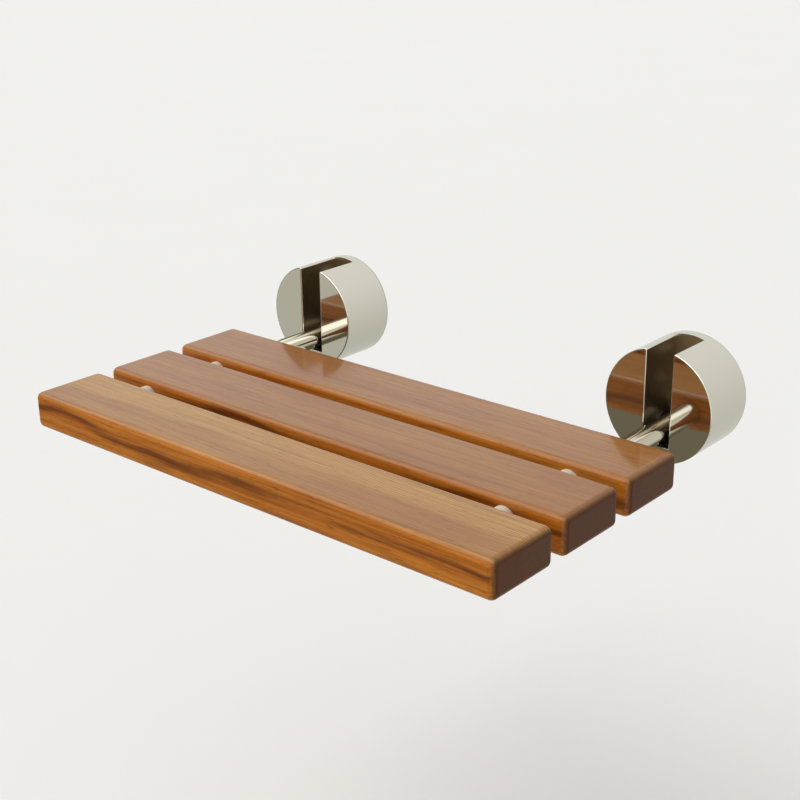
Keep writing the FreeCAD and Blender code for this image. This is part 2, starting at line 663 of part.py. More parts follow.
for slat_index, slat_name in enumerate(SLATS):
    make_slat(slat_index, slat_name)
for seat_side in SEAT_SIDES:
    make_arm(*seat_side)
    make_slat_screws(*seat_side)
    for gap_index in range(len(SLATS) - 1):
        make_spacer(gap_index, *seat_side)
for bracket_side in SEAT_SIDES:
    make_drum(*bracket_side)
    make_stop_pad(*bracket_side)
    make_bushes(*bracket_side)
    make_disc_springs(*bracket_side)
    make_hinge_screws(*bracket_side)
    make_wall_plate(*bracket_side)
    make_drum_screws(*bracket_side)
    make_gasket(*bracket_side)
doc.recompute()

failed = [o.Name for o in doc.Objects if "Invalid" in o.State or "Error" in o.State]
if failed:
    raise RuntimeError(f"failed objects: {failed}")
sub_parts = [o for o in doc.Objects if o.TypeId == "PartDesign::Body"]
for part in sub_parts:
    if part.Shape.isNull() or not part.Shape.isValid() or not part.Shape.Solids:
        raise RuntimeError(f"{part.Label} has no valid solid")

os.makedirs("parts", exist_ok=True)
for part in sub_parts:
    part.Shape.exportStep(f"parts/{part.Label}.step")
    print(part.Label, len(part.Shape.Solids), round(part.Shape.Volume), part.Shape.BoundBox)
print("overall depth", value(f"{REAR_FACE} + 3 * Sizes.slat_width + 2 * Sizes.slat_gap"))
print("hinge at", -value(HINGE_DEPTH), value(HINGE_Z))
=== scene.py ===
"""Looks for a folding wall seat: three teak slats on two nickel arms, hinged in nickel drums."""
import math

import bmesh
import bpy
from bpy.props import FloatProperty, FloatVectorProperty, IntProperty, PointerProperty
from mathutils import Matrix, Vector


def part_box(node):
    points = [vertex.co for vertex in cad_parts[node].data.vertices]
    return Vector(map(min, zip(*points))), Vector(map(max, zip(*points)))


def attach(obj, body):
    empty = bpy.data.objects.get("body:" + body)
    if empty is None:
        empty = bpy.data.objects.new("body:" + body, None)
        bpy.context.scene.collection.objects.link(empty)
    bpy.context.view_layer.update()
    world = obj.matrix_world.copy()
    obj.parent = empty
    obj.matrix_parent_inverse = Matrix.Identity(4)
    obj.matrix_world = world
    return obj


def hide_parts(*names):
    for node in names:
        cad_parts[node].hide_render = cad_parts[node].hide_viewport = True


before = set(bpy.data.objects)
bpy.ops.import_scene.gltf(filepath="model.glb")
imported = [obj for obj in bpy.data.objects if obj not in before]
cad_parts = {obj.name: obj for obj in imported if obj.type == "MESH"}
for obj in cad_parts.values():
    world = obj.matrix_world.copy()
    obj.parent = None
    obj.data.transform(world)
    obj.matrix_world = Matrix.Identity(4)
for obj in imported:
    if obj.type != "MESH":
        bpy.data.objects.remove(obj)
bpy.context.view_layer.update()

bl_info = {
    "name": "Folding wall seat",
    "version": (1, 0, 0),
    "blender": (4, 5, 0),
    "location": "View3D > Sidebar > Wall seat",
    "description": "Builds the slats, arms, drums and stage of a folding teak wall seat",
    "category": "Object",
}

MM = 0.001
SIDES = ("left", "right")
SLATS = ("rear", "middle", "front")

# Clearances and hidden sizes, in metres.
ARM_FIT = 0.1 * MM              # round an arm in a slat or spacer
ARM_CHAMFER = 1.0 * MM          # at an arm's front end
ARM_FLATS_END = 9.5 * MM        # from the hinge line to where an arm is round again
ARM_HALF_FLATS = 9.0 * MM
SCREW_FIT = 0.2 * MM            # round a slat screw's head in its recess
SCREW_RECESS = 3.0 * MM         # depth of that recess
SLAT_SCREW_SHANK = 2.5 * MM
SLAT_SCREW_HEAD = 2.6 * MM
SLAT_SCREW_HEXAGON = 3.0 * MM
SLAT_SCREW_SOCKET = 1.6 * MM
DRUM_SCREW_SHANK = 3.0 * MM
DRUM_SCREW_HEAD = 5.0 * MM
PAD_EDGE = 0.5 * MM             # rounding of a stop pad

# How far from the hinge's middle each of its parts ends, and the radii there.
FLANGE_FACE, SLOT_FACE, BOSS_END = 9.2 * MM, 12.5 * MM, 22.5 * MM
SPRING_END, HEAD_END = 23.7 * MM, 28.7 * MM
SCREW_TIP, SCREW_FLAT = 2.0 * MM, 9.0 * MM
BORE, SLEEVE, FLANGE = 5.0 * MM, 6.5 * MM, 8.5 * MM
SPRING, SPRING_FIT = 7.75 * MM, 0.2 * MM
THREAD, SHOULDER, HINGE_HEAD = 4.0 * MM, 4.95 * MM, 8.0 * MM

# The white room that the gloss mirrors and that lights the surfaces.
LIT_AIR = "#FCFCFC"
WALL_FOOT, WALL_TOP = "#D6D6CE", "#FFFFFC"
DIM_ROOM = "#7A7461"
CEILING = (2.3, 2.3, 2.25, 1.0)
BACKDROP = "#F5F5F2"
CARD_TINT = "#F6F4E8"
WINDOW_TINT = "#FFFDF9"

# The stage, in metres and degrees.
FLOOR_HALF = 20.0
CARD = ((-0.41, -0.36, -0.25), (-0.40, -0.12, 0.05))
CARD_GLOW = 0.62
WINDOW_WIDTH = 50.0             # how wide the window looks from the seat
WINDOW_RAYS = (0.61, 0.4, -0.68)
CAMERA_PLACE = (0.7486, -1.0188, 0.4255)
CAMERA_AZIMUTH, CAMERA_ELEVATION, CAMERA_ROLL = 40.914, 21.006, -0.756
SENSOR_WIDTH = 36.0             # in millimetres, as the camera counts it

SCREW_SHARP = 30.0              # in degrees: a sharper fold than this in a small part is an edge
SAME = 1e-7                     # vertices this near to each other are one
TINY = 1e-5                     # a place this near to another is the same place


# ------------------------------------------------------------------------------------------
# Colours and sizes that a user would change

def linear(code):
    """A colour written as sRGB hex, as the linear red, green and blue that shaders use."""
    shades = [int(code[start:start + 2], 16) / 255 for start in (1, 3, 5)]
    return tuple(s / 12.92 if s <= 0.04045 else ((s + 0.055) / 1.055) ** 2.4 for s in shades)


def colour(name, description, code):
    """A colour property with a default given as sRGB hex."""
    return FloatVectorProperty(
        name=name, description=description, default=linear(code), subtype="COLOR", size=3,
        min=0.0, max=1.0)


def length(name, description, millimetres):
    """A length property with a default given in millimetres."""
    return FloatProperty(
        name=name, description=description, default=millimetres * MM, unit="LENGTH",
        subtype="DISTANCE", min=0.0, precision=5)


class WallSeatWood(bpy.types.PropertyGroup):
    """Sizes and colours of the slats."""
    edge: length("Edge radius", "Rounding of every edge of a slat", 6.0)
    edge_steps: IntProperty(
        name="Edge steps", description="Faces across a rounded edge", default=7, min=2)
    ring_width: length("Ring width", "Spacing of the growth rings", 2.4)
    pale: colour("Pale wood", "The paler half of a board cut near the bark", "#C79343")
    light: colour("Light wood", "Early wood", "#B68033")
    golden: colour("Golden wood", "Between early and late wood", "#9F6426")
    side: colour("Long sides", "Wood cut along the rings", "#BE6A13")
    deep: colour("Deep wood", "Late wood and darker bands", "#7A400F")
    streak: colour("Streak", "Dark veins and streaks", "#421D05")
    end: colour("End grain", "Cut ends, which soak up more finish", "#542A0B")
    vein: colour("Vein", "Dark veins along the sides", "#5C2905")


class WallSeatMetal(bpy.types.PropertyGroup):
    """Sizes and colours of the arms, drums and screws."""
    nickel: colour("Nickel", "Polished nickel plate", "#D6D3C8")
    steel: colour("Stainless steel", "Screws and wall plates", "#BDBAB5")
    slot_mouth: length("Slot mouth", "Rounding of the slot's edges on the drum's round side", 2.5)
    drum_edge: length("Drum edge", "Rounding of the edges of the drum's front face", 1.2)
    slot_half: length("Half slot width", "From the drum's axis to a side of its slot", 12.5)
    slot_floor: length("Slot floor", "From the drum's axis down to the slot's floor", 35.0)
    slot_corner: length("Slot corner", "Radius between the slot's floor and sides", 3.0)
    slot_back: length("Slot back", "From the wall to the back of the slot", 11.0)
    shell: length("Shell", "Thickness of the drum's round side", 3.6)
    face: length("Face", "Thickness of the drum's front face", 5.0)
    cheek: length("Slot wall", "Thickness of the walls beside the slot", 4.0)
    plate_room: length("Plate room", "Depth of the recess for the wall plate", 5.3)
    steps: IntProperty(name="Drum steps", description="Faces round a drum", default=144, min=24)


class WallSeatFittings(bpy.types.PropertyGroup):
    """Sizes and colours of the spacers, bushes, pads and seals."""
    nylon: colour("Nylon", "Spacers between the slats", "#DCD0C0")
    acetal: colour("Acetal", "Hinge bushes and stop pads", "#2A2724")
    silicone: colour("Silicone", "Seal between a drum and the wall", "#A5A49E")
    rim: length("Spacer rim", "Rounding of a spacer's rims", 0.2)
    hexagon: length("Hexagon socket", "Across the flats of the screws' sockets", 5.0)
    socket_depth: length("Socket depth", "Depth of the screws' sockets", 2.8)
    head_bevel: length("Head bevel", "At the rim of a screw's head", 0.7)


class WallSeatStage(bpy.types.PropertyGroup):
    """The floor, light and camera."""
    floor: colour("Floor", "Matt pale floor", "#F5F5F4")
    drop: length("Floor drop", "From the hinge line down to the floor", 450.0)
    key: FloatProperty(
        name="Key light", description="Strength of the soft window light", default=1.65)
    air: FloatProperty(
        name="Room light", description="Strength of the light from all round", default=0.95)
    lens: FloatProperty(
        name="Lens", description="Focal length", default=62.9, unit="CAMERA", min=1.0)


# ------------------------------------------------------------------------------------------
# Meshes

def turned(points, centre, axis, steps, closed=True):
    """A turned shape: pairs of (place along the axis, radius), spun about the axis."""
    axis = Vector(axis)
    outward = Vector((1, 0, 0)) if axis.z else Vector((0, 0, 1))
    shape = bmesh.new()
    verts = [shape.verts.new(centre + axis * along + outward * radius) for along, radius in points]
    pairs = list(zip(verts, verts[1:] + verts[:1]))
    edges = [shape.edges.new(pair) for pair in (pairs if closed else pairs[:-1])]
    bmesh.ops.spin(
        shape, geom=verts + edges, cent=centre, axis=axis, angle=math.tau, steps=steps,
        use_merge=True)
    bmesh.ops.remove_doubles(shape, verts=shape.verts, dist=SAME)
    bmesh.ops.recalc_face_normals(shape, faces=shape.faces)
    return shape


def block(low, high):
    """A box between two corners."""
    shape = bmesh.new()
    low, high = Vector(low), Vector(high)
    place = Matrix.Translation((low + high) / 2) @ Matrix.Diagonal((high - low).to_4d())
    bmesh.ops.create_cube(shape, size=1.0, matrix=place)
    return shape


def join(shapes):
    """Several shapes as one."""
    joined = bmesh.new()
    for shape in shapes:
        mesh = bpy.data.meshes.new("part")
        shape.to_mesh(mesh)
        shape.free()
        joined.from_mesh(mesh)
        bpy.data.meshes.remove(mesh)
    return joined


def carve(solid, cutter):
    """The solid with the cutter's shape taken out of it."""
    carved = []
    for shape in (solid, cutter):
        mesh = bpy.data.meshes.new("carving")
        shape.to_mesh(mesh)
        shape.free()
        carved.append(bpy.data.objects.new("carving", mesh))
        bpy.context.scene.collection.objects.link(carved[-1])
    boolean = carved[0].modifiers.new("Carve", "BOOLEAN")
    boolean.operation = "DIFFERENCE"
    boolean.solver = "EXACT"
    boolean.object = carved[1]
    result = bmesh.new()
    result.from_object(carved[0], bpy.context.evaluated_depsgraph_get())
    for thing in carved:
        mesh = thing.data
        bpy.data.objects.remove(thing)
        bpy.data.meshes.remove(mesh)
    bmesh.ops.remove_doubles(result, verts=result.verts, dist=SAME)
    bmesh.ops.dissolve_degenerate(result, edges=result.edges, dist=SAME)
    return result


def bevel(shape, edges, radius, steps, clamp=True):
    """Rounds some edges."""
    bmesh.ops.bevel(
        shape, geom=edges, offset=radius, offset_type="OFFSET", affect="EDGES", segments=steps,
        profile=0.5, material=-1, clamp_overlap=clamp)


def finish_piece(name, shape, material, body, nodes, sharp=40.0, second=None):
    """Makes a piece: smooth-shaded, with its material, its body and the CAD nodes it stands for."""
    mesh = bpy.data.meshes.new(name)
    shape.to_mesh(mesh)
    shape.free()
    if not mesh.polygons:
        raise RuntimeError(f"{name} has no faces")
    mesh.shade_smooth()
    mesh.set_sharp_from_angle(angle=math.radians(sharp))
    for one in (material, second):
        if one:
            mesh.materials.append(one)
    piece = bpy.data.objects.new(name, mesh)
    bpy.context.scene.collection.objects.link(piece)
    weighted = piece.modifiers.new("Weighted normals", "WEIGHTED_NORMAL")
    weighted.keep_sharp = True
    weighted.mode = "FACE_AREA"
    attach(piece, body)
    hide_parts(*nodes)
    return piece


# ------------------------------------------------------------------------------------------
# Materials

def add(tree, kind, inputs=(), **settings):
    """Adds a shader node with its settings and its inputs, which are given by name or in order.

    An input is a value, an output to link to it, or a node that stands for its first output.
    """
    made = tree.nodes.new("ShaderNode" + kind)
    for name, choice in settings.items():
        setattr(made, name, choice)
    for name, given in inputs.items() if isinstance(inputs, dict) else enumerate(inputs):
        if isinstance(given, bpy.types.Node):
            given = given.outputs[0]
        if isinstance(given, bpy.types.NodeSocket):
            tree.links.new(given, made.inputs[name])
        else:
            made.inputs[name].default_value = given
    return made


MIX_A, MIX_B, MIX_OUT = 6, 7, 2


def blank(name):
    """A new material, its node tree and its shader."""
    material = bpy.data.materials.new(name)
    material.use_nodes = True
    return material, material.node_tree, material.node_tree.nodes["Principled BSDF"]


def rgba(shade):
    """A colour property as the four numbers that a node wants."""
    return (*shade, 1.0)


# How each board was cut: the tree's heart across and above the board's middle in millimetres, a
# seed, how dark its bands are, how much of it is streaked, how far its colour has turned from light
# to golden, how pale its rear half is, and the height of the dark vein along its sides.
CUTS = {
    "rear": ((118.0, -34.0), 11.0, 0.28, 0.12, 0.85, 0.0, -4.0),
    "middle": ((-96.0, -22.0), 27.0, 0.26, 0.16, 0.85, 0.0, 5.0),
    "front": ((72.0, 6.0), 43.0, 0.16, 0.22, 0.36, 0.9, 1.5),
}
# The grain's noises: length along and thickness across the board in millimetres, shift, detail,
# roughness.
GRAIN = {
    "slow": (300.0, 60.0, 0.0, 1.5, 0.5),
    "quick": (80.0, 14.0, 0.0, 2.0, 0.5),
    "cloud": (170.0, 26.0, 5.0, 3.0, 0.5),
    "fibre": (55.0, 1.3, 9.0, 4.0, 0.62),
    "pore": (11.0, 0.7, 3.0, 1.0, 0.5),
    "wisp": (240.0, 7.0, 7.0, 4.0, 0.5),
    "waver": (130.0, 40.0, 2.0, 1.0, 0.5),
    "patch": (150.0, 9.0, 8.0, 3.0, 0.6),
    "stripe": (330.0, 3.2, 6.0, 4.0, 0.6),
}


def teak(board):
    """Teak, planed and sanded, under a thin satin varnish.

    Straight brown rings with fine darker pores, cut so that the top shows narrow lines and the long
    sides wide streaks round a dark vein; the varnish lays a soft pale sheen over the grain. Each
    board comes from another log.
    """
    wood = bpy.context.scene.wall_seat_wood
    heart, seed, banding, streaking, turning, paling, vein_height = CUTS[board]
    material, tree, shader = blank(f"satin_teak_{board}")
    low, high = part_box(f"slat_{board}")
    ring = wood.ring_width / MM

    place = add(tree, "TexCoord")
    # From here on the pattern is in millimetres from the board's middle.
    mm = add(tree, "Mapping", {
        "Vector": place.outputs["Object"], "Location": -(low + high) / 2 / MM,
        "Scale": (1 / MM,) * 3})
    spot = add(tree, "SeparateXYZ", (mm,))
    facing = add(tree, "SeparateXYZ", (place.outputs["Normal"],))
    grain = {}
    for name, (along, across, shift, detail, roughness) in GRAIN.items():
        drawn_out = add(tree, "Mapping", {
            "Vector": mm, "Scale": (1 / along, 1 / across, 1 / across),
            "Location": (seed + shift,) * 3})
        grain[name] = add(tree, "TexNoise", {
            "Vector": drawn_out, "Scale": 1.0, "Detail": detail, "Roughness": roughness})

    # The rings lie about the heart; they wander by several millimetres over a third of the board,
    # and slightly over a hand's width.
    about_heart = add(tree, "Mapping", {
        "Vector": mm, "Location": (0, -heart[0], -heart[1]), "Scale": (0, 1, 1)})
    reach = add(tree, "VectorMath", (about_heart,), operation="LENGTH").outputs["Value"]
    reach = add(tree, "Math", (grain["slow"], 13.0, reach), operation="MULTIPLY_ADD")
    reach = add(tree, "Math", (grain["quick"], 2.2, reach), operation="MULTIPLY_ADD")
    # One thin dark line of late wood at the end of each ring, some rings fainter than others.
    turns = add(tree, "Math", (reach, ring), operation="DIVIDE")
    within = add(tree, "Math", (turns,), operation="FRACT")
    rise = add(tree, "MapRange", (within, 0.5, 0.9), interpolation_type="SMOOTHSTEP")
    fall = add(tree, "MapRange", (within, 0.92, 1.0, 1.0, 0.0))
    late = add(tree, "Math", (rise, fall), operation="MULTIPLY")
    fade = add(tree, "TexNoise", {"W": turns, "Scale": 0.37, "Detail": 2.0}, noise_dimensions="1D")
    fade = add(tree, "MapRange", (fade, 0.32, 0.68, 0.15, 0.75))
    late = add(tree, "Math", (late, fade), operation="MULTIPLY")
    # Broad soft bands that follow the rings.
    bands = add(tree, "TexNoise", {"W": reach, "Scale": 1 / 7, "Detail": 3.0, "Roughness": 0.6},
                noise_dimensions="1D")
    bands = add(tree, "MapRange", (bands, 0.35, 0.7, 0.0, banding), interpolation_type="SMOOTHSTEP")
    # The pale half, its border wandering along the board.
    border = add(tree, "Math", (grain["slow"], 0.5), operation="SUBTRACT")
    border = add(tree, "Math", (border, 30.0, spot.outputs["Y"]), operation="MULTIPLY_ADD")
    pale = add(tree, "MapRange", (border, -7.0, 6.0, 0.0, paling), interpolation_type="SMOOTHSTEP")
    # The long sides are deeper in colour, with light and dark stripes.
    side = add(tree, "Math", (facing.outputs["Y"],), operation="ABSOLUTE")
    side = add(tree, "MapRange", (side, 0.5, 0.95))
    deepened = add(tree, "Math", (side, 0.9), operation="MULTIPLY")
    light_stripe = add(tree, "MapRange", (grain["stripe"], 0.56, 0.36, 0.0, 0.65))
    light_stripe = add(tree, "Math", (side, light_stripe), operation="MULTIPLY")
    dark_stripe = add(tree, "MapRange", (grain["stripe"], 0.5, 0.68, 0.0, 0.38))
    dark_stripe = add(tree, "Math", (side, dark_stripe), operation="MULTIPLY")
    # A vein of dark wood runs along them, wandering a little, and comes and goes.
    waver = add(tree, "Math", (grain["waver"], 0.5), operation="SUBTRACT")
    fray = add(tree, "Math", (grain["fibre"], 0.5), operation="SUBTRACT")
    vein = add(tree, "Math", (spot.outputs["Z"], vein_height), operation="SUBTRACT")
    vein = add(tree, "Math", (waver, 26.0, vein), operation="MULTIPLY_ADD")
    vein = add(tree, "Math", (fray, 5.0, vein), operation="MULTIPLY_ADD")
    vein = add(tree, "Math", (vein,), operation="ABSOLUTE")
    vein = add(tree, "MapRange", (vein, 0.5, 6.5, 1.0, 0.0), interpolation_type="SMOOTHSTEP")
    vein = add(tree, "Math", (vein, side), operation="MULTIPLY")
    there = add(tree, "MapRange", (grain["patch"], 0.36, 0.56, 0.15, 0.85))
    vein = add(tree, "Math", (vein, there), operation="MULTIPLY")
    # The sawn ends are darker, because they soak up more varnish, and show the rings faintly.
    cut = add(tree, "Math", (facing.outputs["X"],), operation="ABSOLUTE")
    cut = add(tree, "MapRange", (cut, 0.55, 0.95))
    darkened = add(tree, "Math", (cut, 0.95), operation="MULTIPLY")
    end_rings = add(tree, "Math", (cut, late), operation="MULTIPLY")
    end_rings = add(tree, "Math", (end_rings, 0.55), operation="MULTIPLY")
    # The late wood shows more in the pale half.
    showing = add(tree, "Math", (pale, 0.8, 0.5), operation="MULTIPLY_ADD")
    showing = add(tree, "Math", (late, showing), operation="MULTIPLY")
    fibres = add(tree, "MapRange", (grain["fibre"], 0.42, 0.7, 0.0, 0.45))
    wisps = add(tree, "MapRange", (grain["wisp"], 0.54, 0.68, 0.0, streaking),
                interpolation_type="SMOOTHSTEP")
    # Pores are 0.3 mm across in teak; they are drawn 0.7 mm across, so that they show as short dark
    # dashes.
    pores = add(tree, "MapRange", (grain["pore"], 0.63, 0.72, 0.0, 0.5))

    turned_golden = add(
        tree, "MapRange", (grain["cloud"], 0.33, 0.67, turning - 0.4, turning + 0.4), clamp=True)
    shade = add(tree, "Mix", {0: turned_golden, MIX_A: rgba(wood.light), MIX_B: rgba(wood.golden)},
                data_type="RGBA").outputs[MIX_OUT]
    layers = ((pale, wood.pale), (bands, wood.deep), (deepened, wood.side),
              (light_stripe, wood.light), (dark_stripe, wood.vein), (showing, wood.deep),
              (fibres, wood.deep), (wisps, wood.streak), (vein, wood.vein), (darkened, wood.end),
              (end_rings, wood.streak), (pores, wood.streak))
    for weight, layer in layers:
        shade = add(tree, "Mix", {0: weight, MIX_A: shade, MIX_B: rgba(layer)},
                    data_type="RGBA").outputs[MIX_OUT]
    tree.links.new(shade, shader.inputs["Base Color"])

    rough = add(tree, "MapRange", (grain["fibre"], 0.3, 0.7, 0.36, 0.5))
    tree.links.new(rough.outputs[0], shader.inputs["Roughness"])
    pits = add(tree, "MapRange", (grain["pore"], 0.63, 0.72))
    relief = add(tree, "Math", (pits, -0.8, grain["fibre"]), operation="MULTIPLY_ADD")
    bump = add(tree, "Bump", {"Strength": 0.35, "Distance": 0.1 * MM, "Height": relief})
    tree.links.new(bump.outputs[0], shader.inputs["Normal"])
    shader.inputs["Specular IOR Level"].default_value = 0.15
    # The varnish lies thick on the top, thinner on the long sides, and is soaked up by the ends.
    bare = add(tree, "Math", (side, 0.5), operation="MULTIPLY")
    bare = add(tree, "Math", (bare, cut), operation="MAXIMUM")
    coat = add(tree, "MapRange", (bare, 0.0, 1.0, 0.82, 0.06))
    tree.links.new(coat.outputs[0], shader.inputs["Coat Weight"])
    shader.inputs["Coat Roughness"].default_value = 0.11
    shader.inputs["Coat IOR"].default_value = 1.5
    return material


def polished_nickel():
    """Nickel plate on a polished casting: a warm mirror, slightly wavy, with faint buffing haze."""
    material, tree, shader = blank("polished_nickel")
    shader.inputs["Base Color"].default_value = rgba(bpy.context.scene.wall_seat_metal.nickel)
    shader.inputs["Metallic"].default_value = 1.0
    place = add(tree, "TexCoord")
    # Buffing haze in patches about 15 mm across.
    haze = add(tree, "TexNoise", {
        "Vector": place.outputs["Object"], "Scale": 1 / (15 * MM), "Detail": 4.0})
    haze = add(tree, "MapRange", (haze, 0.35, 0.7, 0.045, 0.085))
    tree.links.new(haze.outputs[0], shader.inputs["Roughness"])
    # A hand-polished face is never quite flat: waves 20 mm long and a few micrometres high.
    wave = add(tree, "TexNoise", {
        "Vector": place.outputs["Object"], "Scale": 1 / (20 * MM), "Detail": 1.0})
    bump = add(tree, "Bump", {"Strength": 0.6, "Distance": 0.03 * MM, "Height": wave})
    tree.links.new(bump.outputs[0], shader.inputs["Normal"])
    return material


# Painted shade: the inside of the slot gets a darker, browner nickel than the polished outside,
# standing in for the shade in that recess; only its rougher finish is real.
SLOT_SHADE_SHARE = (0.68, 0.60, 0.50)  # how much red, green and blue the unbuffed nickel keeps


def satin_nickel_painted_shade():
    """Nickel plate inside the slots, where a buffing wheel can't reach: a soft satin shine, with
    its colour darkened and browned as painted shade of the recess.
    """
    material, tree, shader = blank("satin_nickel_painted_shade")
    shader.inputs["Metallic"].default_value = 1.0
    nickel = bpy.context.scene.wall_seat_metal.nickel
    # Painted shade: the nickel's colour, darkened and browned by the slot's share.
    shader.inputs["Base Color"].default_value = rgba(
        tuple(part * less for part, less in zip(nickel, SLOT_SHADE_SHARE)))
    place = add(tree, "TexCoord")
    grit = add(tree, "TexNoise", {
        "Vector": place.outputs["Object"], "Scale": 1 / (0.9 * MM), "Detail": 2.0})
    rough = add(tree, "MapRange", (grit, 0.3, 0.7, 0.28, 0.4))
    tree.links.new(rough.outputs[0], shader.inputs["Roughness"])
    bump = add(tree, "Bump", {"Strength": 0.2, "Distance": 0.02 * MM, "Height": grit})
    tree.links.new(bump.outputs[0], shader.inputs["Normal"])
    return material


def turned_stainless():
    """Stainless steel, turned and rolled: a greyer, softer shine with fine machining marks."""
    material, tree, shader = blank("turned_stainless")
    shader.inputs["Metallic"].default_value = 1.0
    place = add(tree, "TexCoord")
    marks = add(tree, "TexNoise", {
        "Vector": place.outputs["Object"], "Scale": 1 / (0.8 * MM), "Detail": 3.0})
    rough = add(tree, "MapRange", (marks, 0.3, 0.7, 0.22, 0.4))
    tree.links.new(rough.outputs[0], shader.inputs["Roughness"])
    steel = bpy.context.scene.wall_seat_metal.steel
    shade = add(tree, "Mix", {
        0: marks, MIX_A: rgba(steel), MIX_B: rgba(tuple(part * 0.8 for part in steel))},
        data_type="RGBA")
    tree.links.new(shade.outputs[MIX_OUT], shader.inputs["Base Color"])
    bump = add(tree, "Bump", {"Strength": 0.25, "Distance": 0.02 * MM, "Height": marks})
    tree.links.new(bump.outputs[0], shader.inputs["Normal"])
    return material


def moulded(name, shade, grain, rough):
    """A moulded plastic or rubber: even colour, slightly cloudy, with a fine matt grain."""
    material, tree, shader = blank(name)
    place = add(tree, "TexCoord")
    cloud = add(tree, "TexNoise", {
        "Vector": place.outputs["Object"], "Scale": 1 / (6 * MM), "Detail": 3.0})
    mixed = add(tree, "Mix", {
        0: cloud, MIX_A: rgba(shade), MIX_B: rgba(tuple(part * 0.88 for part in shade))},
        data_type="RGBA")
    tree.links.new(mixed.outputs[MIX_OUT], shader.inputs["Base Color"])
    skin = add(tree, "TexNoise", {
        "Vector": place.outputs["Object"], "Scale": 1 / (grain * MM), "Detail": 2.0})
    soft = add(tree, "MapRange", (skin, 0.3, 0.7, rough - 0.06, rough + 0.06))
    tree.links.new(soft.outputs[0], shader.inputs["Roughness"])
    bump = add(tree, "Bump", {"Strength": 0.3, "Distance": 0.03 * MM, "Height": skin})
    tree.links.new(bump.outputs[0], shader.inputs["Normal"])
    return material


def pale_floor():
    """Matt white paint, rolled: nearly even, with a faint mottle."""
    material, tree, shader = blank("matt_floor_paint")
    floor = bpy.context.scene.wall_seat_stage.floor
    place = add(tree, "TexCoord")
    mottle = add(tree, "TexNoise", {"Vector": place.outputs["Object"], "Scale": 3.0, "Detail": 3.0})
    shade = add(tree, "Mix", {
        0: mottle, MIX_A: rgba(floor), MIX_B: rgba(tuple(part * 0.985 for part in floor))},
        data_type="RGBA")
    tree.links.new(shade.outputs[MIX_OUT], shader.inputs["Base Color"])
    shader.inputs["Roughness"].default_value = 0.8
    return material


def fitting(name):
    """The material of that name, made on first use."""
    fittings = bpy.context.scene.wall_seat_fittings
    made = bpy.data.materials.get(name)
    if made:
        return made
    if name == "polished_nickel":
        return polished_nickel()
    if name == "satin_nickel_painted_shade":
        return satin_nickel_painted_shade()
    if name == "turned_stainless":
        return turned_stainless()
    if name == "moulded_nylon":
        return moulded(name, fittings.nylon, 0.5, 0.45)
    if name == "moulded_acetal":
        return moulded(name, fittings.acetal, 0.4, 0.38)
    return moulded(name, fittings.silicone, 0.6, 0.62)


# ------------------------------------------------------------------------------------------
# Pieces of the seat

def arm_middle(side):
    """How far across an arm's axis is."""
    low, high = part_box(f"arm_{side}")
    return (low.x + high.x) / 2


def screw_places(side):
    """The middle of each slat over an arm, at the slats' underside."""
    across = arm_middle(side)
    for board in SLATS:
        low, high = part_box(f"slat_{board}")
        yield Vector((across, (low.y + high.y) / 2, low.z))


class WALLSEAT_OT_slats(bpy.types.Operator):
    """Build the three teak slats, rounded on every edge, bored for the arms, recessed below"""
    bl_idname = "wall_seat.slats"
    bl_label = "Slats"

    def execute(self, context):
        wood = context.scene.wall_seat_wood
        for board in SLATS:
            low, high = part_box(f"slat_{board}")
            slat = block(low, high)
            bevel(slat, slat.edges[:], wood.edge, wood.edge_steps)
            cutters = []
            for side in SIDES:
                arm_low, arm_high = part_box(f"arm_{side}")
                axis = (arm_low + arm_high) / 2
                end = arm_low.y if board == "front" else low.y - wood.edge
                start = Vector((axis.x, end, axis.z))
                reach = high.y + wood.edge - end
                radius = (arm_high.z - arm_low.z) / 2 + ARM_FIT
                bore = [(0, 0), (0, radius), (reach, radius), (reach, 0)]
                cutters.append(turned(bore, start, (0, 1, 0), 64, closed=False))
                screw_low, screw_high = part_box(f"slat_screws_{side}")
                head = (screw_high.x - screw_low.x) / 2 + SCREW_FIT
                under = Vector((axis.x, (low.y + high.y) / 2, low.z - wood.edge))
                cutters.append(upright(under, head, wood.edge + SCREW_RECESS))
            slat = carve(slat, join(cutters))
            finish_piece(f"teak_slat_{board}", slat, teak(board), "seat", [f"slat_{board}"])
        return {"FINISHED"}


def upright(foot, radius, height):
    """An upright cylinder on its foot."""
    shape = bmesh.new()
    bmesh.ops.create_cone(
        shape, cap_ends=True, segments=48, radius1=radius, radius2=radius, depth=height,
        matrix=Matrix.Translation(foot + Vector((0, 0, height / 2))))
    return shape


class WALLSEAT_OT_arms(bpy.types.Operator):
    """Build the two round arms, ball-nosed and flatted where they enter the drums"""
    bl_idname = "wall_seat.arms"
    bl_label = "Arms"

    def execute(self, context):
        for side in SIDES:
            low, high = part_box(f"arm_{side}")
            radius = (high.z - low.z) / 2
            hinge = Vector(((low.x + high.x) / 2, high.y - radius, (low.z + high.z) / 2))
            front = hinge.y - low.y
            step_room = 0.05 * MM
            points = [(-front, 0), (-front, radius - ARM_CHAMFER), (ARM_CHAMFER - front, radius),
                      (-ARM_FLATS_END - step_room, radius), (-ARM_FLATS_END, radius), (0, radius)]
            nose_steps = 12
            for step in range(1, nose_steps):
                angle = math.pi / 2 * step / nose_steps
                points.append((radius * math.sin(angle), radius * math.cos(angle)))
            points.append((radius, 0))
            arm = turned(points, hinge, (0, 1, 0), 96, closed=False)
            for vert in arm.verts:
                if vert.co.y > hinge.y - ARM_FLATS_END - step_room / 5:
                    aside = vert.co.x - hinge.x
                    vert.co.x = hinge.x + max(-ARM_HALF_FLATS, min(ARM_HALF_FLATS, aside))
            finish_piece(f"nickel_arm_{side}", arm, fitting("polished_nickel"),
                         "seat", [f"arm_{side}"])
        return {"FINISHED"}


